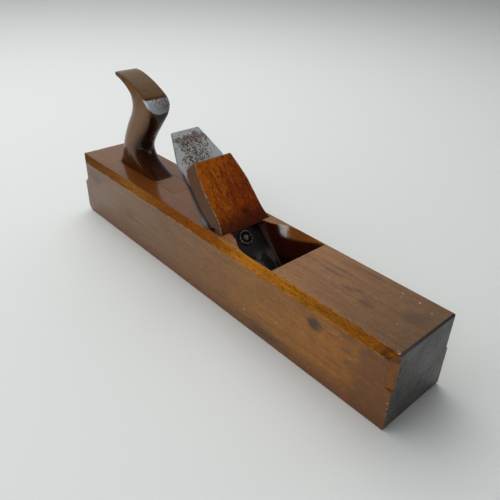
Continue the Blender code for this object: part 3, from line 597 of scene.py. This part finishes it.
def pitted_steel():
    metal = Paint("pitted_steel", tuple(BED_TOP), FACE_PITCH)
    x, y = metal.split(metal.place)[:2]
    aside = metal.math("ABSOLUTE", y)
    broad = metal.noise((0.010, 0.006, 0.010), 4.0)
    fine = metal.noise((0.0018, 0.0018, 0.0018), 6.0, rough=0.78)
    grit = metal.noise((0.0011, 0.0011, 0.0011), 2.0, shift=8.0)
    middle = metal.band(metal.plus(aside, metal.band(broad, 0.25, 0.75, 0.008, -0.008)), 0.0225, 0.0095)
    above = metal.band(metal.plus(x, metal.band(broad, 0.3, 0.7, 0.003, -0.003)), -0.0880, -0.0835)
    zone = metal.times(middle, above)
    foxed = metal.band(metal.plus(zone, metal.band(fine, 0.3, 0.7, -0.42, 0.42)), 0.38, 0.60)
    flecks = metal.times(metal.band(metal.cells((0.0016, 0.0016, 0.0016)), 0.56, 0.42),
                         metal.band(x, -0.083, -0.072, 0.35, 1.0))
    spots = metal.times(metal.band(metal.cells((0.0032, 0.0032, 0.0032)), 0.26, 0.18),
                        metal.band(grit, 0.40, 0.50))
    pits = metal.most(metal.times(foxed, metal.inverse(flecks)), metal.times(spots, metal.inverse(foxed)))
    brushed = metal.noise((0.020, 0.0012, 0.004), 3.0)
    steel = metal.color(brushed, (0.640, 0.675, 0.705), (0.860, 0.890, 0.920))
    steel = metal.veil(steel, (0.420, 0.415, 0.410), broad, 0.5, 0.75, 0.40)
    steel = metal.cover(steel, (0.640, 0.610, 0.580), foxed, 0.30)
    scab = metal.color(metal.band(broad, 0.35, 0.65), (0.095, 0.068, 0.054), (0.190, 0.150, 0.125))
    rust = metal.spot((-0.080, 0.002, 0.003), (0.012, 0.014, 0.01), 0.9, ragged=0.8)
    scab = metal.cover(scab, (0.170, 0.080, 0.048), rust, 0.6)
    tone = metal.color(pits, steel, scab)
    # Beside the wedge the face is dark with painted shade, and only its arris stays bright
    beside = metal.times(metal.band(aside, 0.0235, 0.0250), metal.band(aside, 0.0283, 0.0278))
    wedge_shade = metal.times(beside, metal.band(x, -0.0570, -0.0480))
    tone = metal.cover(tone, (0.050, 0.034, 0.024), wedge_shade, 0.92)
    # Flanks and back are dark with old rust
    back = metal.most(metal.band(metal.facing[1], 0.5, 0.8, 0.0, 0.8),
                      metal.band(metal.toward[2], -0.4, -0.6))
    tone = metal.color(back, tone, metal.color(fine, (0.030, 0.020, 0.014), (0.120, 0.085, 0.062)))
    pits = metal.most(metal.most(pits, wedge_shade), back)
    rough = metal.band(pits, 0.0, 1.0, 0.34, 0.65)
    shine = metal.band(pits, 0.0, 1.0, 0.50, 0.15)
    height = metal.plus(metal.times(pits, -1.0), metal.times(fine, 0.3))
    return metal.finish(tone, rough, height, 0.00025, shine)


def black_iron():
    metal = Paint("black_iron", tuple(BED_TOP), FACE_PITCH)
    x = metal.split(metal.place)[0]
    broad = metal.noise((0.012, 0.008, 0.008), 4.0)
    fine = metal.noise((0.0015, 0.0010, 0.0010), 4.0)
    tone = metal.color(broad, (0.030, 0.026, 0.023), (0.120, 0.112, 0.104))
    # Painted light: pale, less metallic patches low on the cap iron, for its lit part below the wedge's
    # shadow
    bright = metal.times(metal.band(x, 0.038, 0.050), metal.band(broad, 0.40, 0.60))
    tone = metal.cover(tone, (0.300, 0.290, 0.275), bright, 0.75)
    tone = metal.veil(tone, (0.055, 0.028, 0.014), fine, 0.58, 0.70, 0.6)
    rough = metal.band(fine, 0.3, 0.7, 0.28, 0.45)
    shine = metal.band(bright, 0.0, 1.0, 0.85, 0.45)
    return metal.finish(tone, rough, fine, 0.00010, shine)


def turned_metal(name, low, high, rough):
    """Dull metal, rubbed bright on the boss's rim and in the middle of the screw's end."""
    metal = Paint(name, tuple(BED_TOP), FACE_PITCH)
    x, y = metal.split(metal.moved(metal.place, (BOSS_STATION, 0.0, 0.0)))[:2]
    radius = metal.math("POWER", metal.plus(metal.times(x, x), metal.times(y, y)), 0.5)
    grime = metal.noise((0.0018, 0.0018, 0.0018), 5.0)
    rim = metal.most(metal.line(radius, 0.0064, 0.0008, 0.7), metal.band(radius, 0.0030, 0.0014))
    rubbed = metal.times(rim, metal.band(grime, 0.62, 0.42))
    tone = metal.color(rubbed, low, high)
    return metal.finish(tone, metal.band(grime, 0.3, 0.7, rough, rough + 0.25), grime, 0.00008, 1.0)


# Pieces

ARRIS_ANGLE = math.radians(25)
SPARE = 0.00002
STOCK_RUB = 0.0007
WEDGE_RUB = 0.0004
WEDGE_SHORTEST = 0.0012         # shorter arrises of the wedge stay sharp
FLANK_SPREAD = 0.0027
HEAD_DROP = 0.0042
HEAD_WIDTH = 0.045

# Points just outside the wedge's near front arris
ARRIS_X = 0.0216
ARRIS_Y = -0.032
ARRIS_Z = 0.0790
ARRIS_OUT = 0.004
ARRIS_SLOPE = math.radians(45.5)

# Chips out of the stock: centre and radii
STOCK_CHIPS = (((0.2128, -0.0320, 0.0696), (0.0024, 0.0016, 0.0011)),
               ((0.2130, -0.0330, 0.0375), (0.0020, 0.0014, 0.0010)),
               ((0.2045, -0.0352, 0.0372), (0.0022, 0.0006, 0.0007)),
               ((0.1000, -0.0352, 0.0618), (0.0030, 0.0006, 0.0006)),
               ((0.0300, -0.0352, 0.0613), (0.0022, 0.0005, 0.0006)),
               ((-0.0700, -0.0353, 0.0617), (0.0026, 0.0006, 0.0006)),
               ((0.1850, -0.0322, 0.0703), (0.0030, 0.0010, 0.0006)),
               ((-0.2150, -0.0150, 0.0700), (0.0010, 0.0022, 0.0008)),
               ((0.2162, -0.0290, 0.0200), (0.0008, 0.0012, 0.0016)),
               ((0.1500, -0.0352, -0.0002), (0.0040, 0.0009, 0.0008)))
# Chips down the wedge's near front arris: z and half length
WEDGE_CHIPS = ((0.1175, 0.0016),
               (0.1135, 0.0011),
               (0.1095, 0.0017),
               (0.1050, 0.0010),
               (0.1010, 0.0014),
               (0.0965, 0.0018),
               (0.0915, 0.0010),
               (0.0880, 0.0013),
               (0.0830, 0.0009))


def paint_node(name, material):
    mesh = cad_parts[name].data
    mesh.materials.clear()
    mesh.materials.append(material)


def bare_mesh(node):
    """A CAD node's bare shape, with its corners joined."""
    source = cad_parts[node].data
    plain = bpy.data.meshes.new(node + "_shape")
    corners = [vert.co for vert in source.vertices]
    plain.from_pydata(corners, [], [list(face.vertices) for face in source.polygons])
    bm = bmesh.new()
    bm.from_mesh(plain)
    bmesh.ops.remove_doubles(bm, verts=bm.verts, dist=1e-6)
    return bm


def rub(bm, width, segments, shortest=0.0):
    """Round the arrises that are longer than the shortest one to be rounded."""
    arrises = [edge for edge in bm.edges
               if len(edge.link_faces) == 2 and edge.calc_face_angle() > ARRIS_ANGLE
               and edge.calc_length() > shortest]
    bmesh.ops.bevel(bm, geom=arrises, offset=width, offset_type="OFFSET", segments=segments,
                    profile=0.5, affect="EDGES", clamp_overlap=False)
    # The bevel leaves corners that nearly coincide, and a cut through them would lose faces
    bmesh.ops.remove_doubles(bm, verts=bm.verts, dist=1e-5)


def add_piece(name, bm, material):
    mesh = bpy.data.meshes.new(name)
    bm.to_mesh(mesh)
    bm.free()
    mesh.materials.append(material)
    mesh.shade_smooth()
    mesh.set_sharp_from_angle(angle=SHARP)
    piece = bpy.data.objects.new(name, mesh)
    bpy.context.scene.collection.objects.link(piece)
    return piece


def combine(piece, tool, operation):
    """Cut a piece with a tool, whose material goes on the cut, and drop the tool."""
    modifier = piece.modifiers.new("cut", "BOOLEAN")
    modifier.operation = operation
    modifier.object = tool
    modifier.solver = "EXACT"
    modifier.material_mode = "TRANSFER"
    bpy.context.view_layer.update()
    cut = bpy.data.meshes.new_from_object(piece.evaluated_get(bpy.context.evaluated_depsgraph_get()))
    piece.modifiers.clear()
    piece.data = cut
    bpy.data.objects.remove(tool)


def knock(piece, dents, material):
    """Chip small ragged hollows out of a piece. Each is a centre and radii."""
    bm = bmesh.new()
    for center, radii in dents:
        made = bmesh.ops.create_icosphere(bm, subdivisions=2, radius=1.0)
        for vert in made["verts"]:
            swell = 0.25 * math.sin(7.0 * vert.co.x + 90.0 * center[0])
            swell = 1.0 + swell * math.cos(5.0 * vert.co.y + 3.0)
            vert.co = Vector(center) + Vector([c * r * swell for c, r in zip(vert.co, radii)])
    combine(piece, add_piece("chips_tool", bm, material), "DIFFERENCE")


def even_shading(piece):
    piece.data.shade_smooth()
    piece.data.set_sharp_from_angle(angle=SHARP)
    piece.modifiers.new("normals", "WEIGHTED_NORMAL").keep_sharp = True


def round_block(width, material):
    """A block just larger than the stock, with every arris rounded."""
    half, shoulder = -SIDE + SPARE, -SIDE - CHAMFER_IN + SPARE
    outline = [(half, -SPARE), (half, CHAMFER_FOOT), (shoulder, TOP + SPARE)]
    outline += [(-y, z) for y, z in reversed(outline)]
    bm = bmesh.new()
    ends = [[bm.verts.new((x, y, z)) for y, z in outline] for x in (-TOE - SPARE, TOE + SPARE)]
    for i in range(len(outline)):
        j = (i + 1) % len(outline)
        bm.faces.new((ends[0][i], ends[0][j], ends[1][j], ends[1][i]))
    bm.faces.new(ends[0])
    bm.faces.new(ends[1])
    bmesh.ops.recalc_face_normals(bm, faces=bm.faces)
    rub(bm, width, 3)
    return add_piece("block_tool", bm, material)


def make_stock(wood, raw):
    """The block with its outer arrises rubbed round and its corners knocked."""
    piece = add_piece("worn_stock", bare_mesh("stock"), wood)
    combine(piece, round_block(STOCK_RUB, wood), "INTERSECT")
    knock(piece, STOCK_CHIPS, raw)
    even_shading(piece)
    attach(piece, "stock")
    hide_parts("stock")


def make_wedge(wood, raw):
    """The wedge with its flanks spread, its head out of square, and its arrises worn and chipped."""
    bm = bare_mesh("wedge")
    level = [vert.co.x * math.sin(FACE_PITCH) + vert.co.z * math.cos(FACE_PITCH) for vert in bm.verts]
    for vert, height in zip(bm.verts, level):
        if height < min(level) + 0.0004 and vert.co.z > TOP + 0.0005 and abs(vert.co.y) > 0.018:
            vert.co.y += math.copysign(FLANK_SPREAD, vert.co.y)
    rear_top = max(vert.co.z for vert in bm.verts if vert.co.x < WEDGE_LOW.x + 0.0005)
    down_face = Vector((math.cos(FACE_PITCH), 0.0, -math.sin(FACE_PITCH)))
    for vert in bm.verts:
        if vert.co.z > rear_top - 0.0025 and vert.co.x < WEDGE_LOW.x + 0.0035:
            drop = HEAD_DROP * (0.5 - vert.co.y / HEAD_WIDTH)
            vert.co += down_face * max(drop, 0.0)
    rub(bm, WEDGE_RUB, 2, WEDGE_SHORTEST)
    piece = add_piece("worn_wedge", bm, wood)
    knock(piece, wedge_chips(), raw)
    even_shading(piece)
    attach(piece, "wedge")
    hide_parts("wedge")


def wedge_chips():
    """Knocks along the wedge's near front arris, from the head down."""
    chips = []
    for z, length in WEDGE_CHIPS:
        x = ARRIS_X - (z - ARRIS_Z) / math.tan(ARRIS_SLOPE) + ARRIS_OUT
        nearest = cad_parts["wedge"].closest_point_on_mesh((x, ARRIS_Y, z))[1]
        chips.append((tuple(nearest), (length, 0.0007, length)))
    return chips


raw_beech = raw_wood()
make_stock(stock_wood(), raw_beech)
make_wedge(wedge_wood(), raw_beech)
paint_node("tote", tote_wood())
paint_node("cutting_iron", pitted_steel())
paint_node("cap_iron", black_iron())
paint_node("cap_iron_boss", turned_metal("worn_brass", (0.060, 0.052, 0.044), (0.72, 0.69, 0.62), 0.30))
paint_node("cap_screw", turned_metal("dark_steel", (0.055, 0.052, 0.050), (0.55, 0.54, 0.52), 0.30))


# Floor, light and camera

def make_floor():
    bpy.ops.mesh.primitive_plane_add(size=8.0, location=(0.0, 0.0, STOCK_LOW.z - 0.0002))
    floor = bpy.context.object
    floor.name = "floor"
    paint = Paint("pale_floor")
    paint.finish((0.78, 0.80, 0.79), 0.95)
    floor.data.materials.append(paint.material)


def make_flag():
    """A dark card that only reflections see, low down on the near side."""
    bpy.ops.mesh.primitive_plane_add(size=1.0, location=(-0.3, -0.28, 0.2), rotation=(math.pi / 2, 0, 0))
    flag = bpy.context.object
    flag.name = "dark_card"
    flag.scale = (4.0, 0.4, 1.0)
    paint = Paint("dark_card")
    paint.finish((0.02, 0.02, 0.02), 0.9)
    flag.data.materials.append(paint.material)
    flag.visible_camera = False
    flag.visible_diffuse = False
    flag.visible_shadow = False


def area_light(name, place, aim, size, power, lights_surfaces=True, shines=True):
    light = bpy.data.lights.new(name, "AREA")
    light.shape = "RECTANGLE"
    light.size, light.size_y = size
    light.energy = power
    lamp = bpy.data.objects.new(name, light)
    lamp.location = place
    lamp.rotation_euler = (Vector(aim) - Vector(place)).to_track_quat("-Z", "Y").to_euler()
    lamp.visible_diffuse = lights_surfaces
    lamp.visible_glossy = shines
    lamp.visible_camera = False
    bpy.context.scene.collection.objects.link(lamp)


def make_world():
    """A dim room with a pale wall and a pale ceiling, which show in the varnish."""
    world = bpy.data.worlds.new("pale_room")
    world.use_nodes = True
    bpy.context.scene.world = world
    tree = world.node_tree
    direction = tree.nodes.new("ShaderNodeTexCoord").outputs["Generated"]
    split = tree.nodes.new("ShaderNodeSeparateXYZ")
    tree.links.new(direction, split.inputs[0])
    towards = tree.nodes.new("ShaderNodeVectorMath")
    towards.operation = "DOT_PRODUCT"
    towards.inputs[1].default_value = WALL_DIRECTION
    tree.links.new(direction, towards.inputs[0])

    def fade(value, low, high):
        made = tree.nodes.new("ShaderNodeMapRange")
        made.interpolation_type = "SMOOTHSTEP"
        made.inputs["From Min"].default_value = low
        made.inputs["From Max"].default_value = high
        tree.links.new(value, made.inputs["Value"])
        return made.outputs[0]

    def blend(factor, a, b):
        made = tree.nodes.new("ShaderNodeMix")
        made.data_type = "RGBA"
        for socket, value in ((made.inputs[0], factor), (made.inputs[6], a), (made.inputs[7], b)):
            if isinstance(value, tuple):
                socket.default_value = (*value, 1.0)
            else:
                tree.links.new(value, socket)
        return made.outputs[2]

    wall = blend(fade(towards.outputs["Value"], 0.22, 0.60), ROOM_TONE, WALL_TONE)
    ceiling = fade(split.outputs[2], 0.66, 0.95)
    tree.links.new(blend(ceiling, wall, CEILING_TONE), tree.nodes["Background"].inputs["Color"])


def make_camera():
    camera = bpy.data.cameras.new("camera")
    camera.lens = LENS
    camera.sensor_width = SENSOR
    camera.clip_start = 0.01
    holder = bpy.data.objects.new("camera", camera)
    back = (EYE - TARGET).normalized()
    right = Vector((0, 0, 1)).cross(back).normalized()
    up = back.cross(right)
    across = right * math.cos(ROLL) + up * math.sin(ROLL)
    above = up * math.cos(ROLL) - right * math.sin(ROLL)
    turn = Matrix((across, above, back)).transposed().to_4x4()
    holder.matrix_world = Matrix.Translation(EYE) @ turn
    bpy.context.scene.collection.objects.link(holder)
    bpy.context.scene.camera = holder


bpy.context.scene.view_settings.view_transform = "Standard"
make_floor()
make_world()
make_flag()
make_camera()
area_light("sky", (-1.1, 0.1, 1.8), (-0.2, 0.1, 0), (3.0, 3.0), 25.0, shines=False)
area_light("softbox", (-0.60, 0.35, 1.15), (-0.1, 0.05, 0), (1.1, 1.1), 4.5, shines=False)
area_light("fill", (-0.70, -1.20, 0.90), (0, 0, 0.03), (1.6, 1.2), 8.5, shines=False)
area_light("window", (0.95, 0.52, 0.30), (-0.1, 0, 0.15), (0.35, 0.50), 1.1, lights_surfaces=False)
area_light("pane", (0.102, -0.208, 0.160), (0.852, 0.392, -0.040), (0.160, 0.060), 0.22,
           lights_surfaces=False)
area_light("lamp", (0.47, -0.70, 0.66), (0.05, 0, 0.05), (0.20, 0.20), 0.9)
